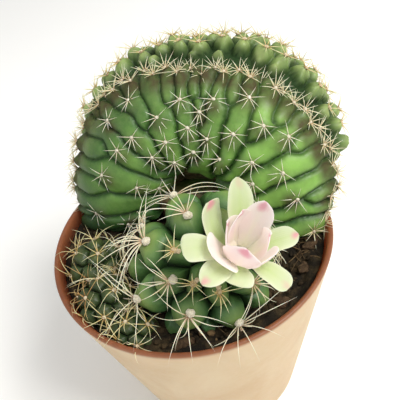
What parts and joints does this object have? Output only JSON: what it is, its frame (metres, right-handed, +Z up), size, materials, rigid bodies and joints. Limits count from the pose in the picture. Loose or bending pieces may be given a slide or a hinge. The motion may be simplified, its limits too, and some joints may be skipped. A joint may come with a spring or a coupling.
{
  "type": "potted crested chin cactus",
  "caption": "Crested chin cactus with a fan-shaped ribbed stem, a globular head, small offsets and a half-open flower, growing in a small round tapered plastic pot.",
  "frame": {"origin": "centre of the pot's flat underside", "axes": "+Z up; -Y is the front, where the globular head and the flower are; +X is to the right seen from the front"},
  "size_m": [0.073, 0.0712, 0.0868],
  "materials": {
    "pot_plastic": "thin moulded terracotta-brown plastic, paler and translucent where light falls on the wall",
    "potting_mix": "dark, crumbly, slightly damp organic mix",
    "crest_skin": "waxy green skin with soft highlights, purplish brown on the tubercle tips",
    "head_skin": "darker blue-green waxy skin",
    "flower_tube_skin": "pale green fleshy tube with small scales",
    "petal": "thin translucent pale yellow-green petal with a pink tip",
    "inner_petal": "thin translucent pinkish-white petal with a darker pink tip",
    "stamen": "matt straw-yellow pollen parts",
    "bark_chip": "dry weathered bark",
    "spine": "stiff straw-coloured spine, browner at the foot",
    "areole_wool": "short cream felt"
  },
  "bodies": {
    "root": {"pot": "pot_plastic", "potting_mix": "potting_mix", "crested_stem": "crest_skin", "front_head": "head_skin", "offset_head_upper": "head_skin", "offset_head_middle": "head_skin", "offset_head_lower": "head_skin", "flower_tube": "flower_tube_skin", "outer_petal_1": "petal", "outer_petal_2": "petal", "outer_petal_3": "petal", "outer_petal_4": "petal", "outer_petal_5": "petal", "outer_petal_6": "petal", "outer_petal_7": "petal", "inner_petal_1": "inner_petal", "inner_petal_2": "inner_petal", "inner_petal_3": "inner_petal", "inner_petal_4": "inner_petal", "inner_petal_5": "inner_petal", "inner_petal_6": "inner_petal", "inner_petal_7": "inner_petal", "style": "stamen", "stamens": "stamen", "bark_chip_1": "bark_chip", "bark_chip_2": "bark_chip", "bark_chip_3": "bark_chip", "bark_chip_4": "bark_chip"}
  },
  "joints": []
}
